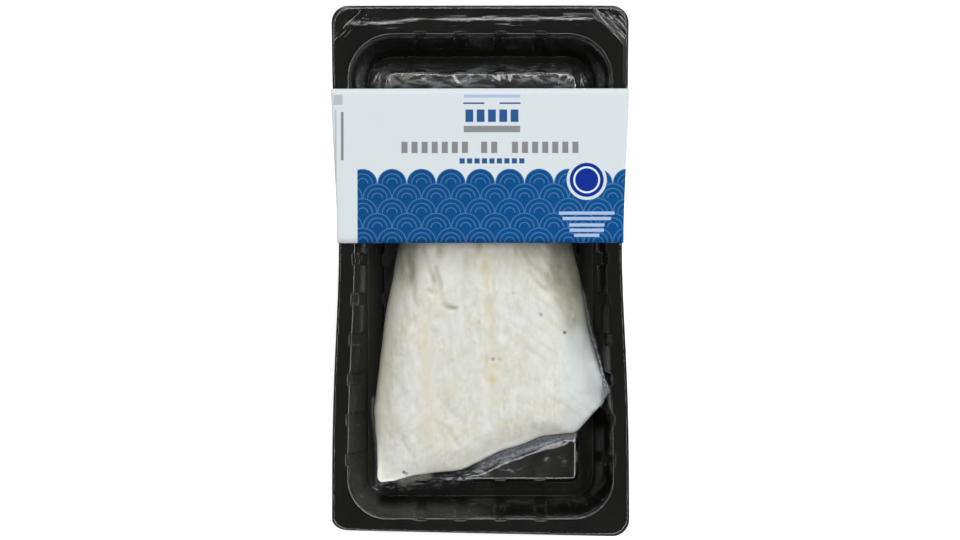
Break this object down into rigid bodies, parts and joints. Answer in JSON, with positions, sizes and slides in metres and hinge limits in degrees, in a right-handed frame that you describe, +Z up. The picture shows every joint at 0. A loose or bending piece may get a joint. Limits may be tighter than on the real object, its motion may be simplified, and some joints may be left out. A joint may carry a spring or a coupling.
{
  "type": "salt cod fillet in a sealed tray pack",
  "caption": "Thick white salt cod fillet under a clear skin film in a fluted black tray, with a plain blue and white board sleeve.",
  "frame": {"origin": "centre of the pack's footprint, on the surface it lies on", "axes": "+Z up through the film side, +Y along the pack towards the sleeve's end and the peel corner, +X to the right seen from above"},
  "size_m": [0.1482, 0.264, 0.0359],
  "materials": {
    "tray": "glossy black thermoformed sheet",
    "fillet": "moist creamy white flesh",
    "film": "clear glossy skin film",
    "sleeve": "coated board, pale ground with plain blue print"
  },
  "bodies": {
    "root": {"tray": "tray", "fillet": "fillet", "film": "film", "sleeve": "sleeve"}
  },
  "joints": []
}
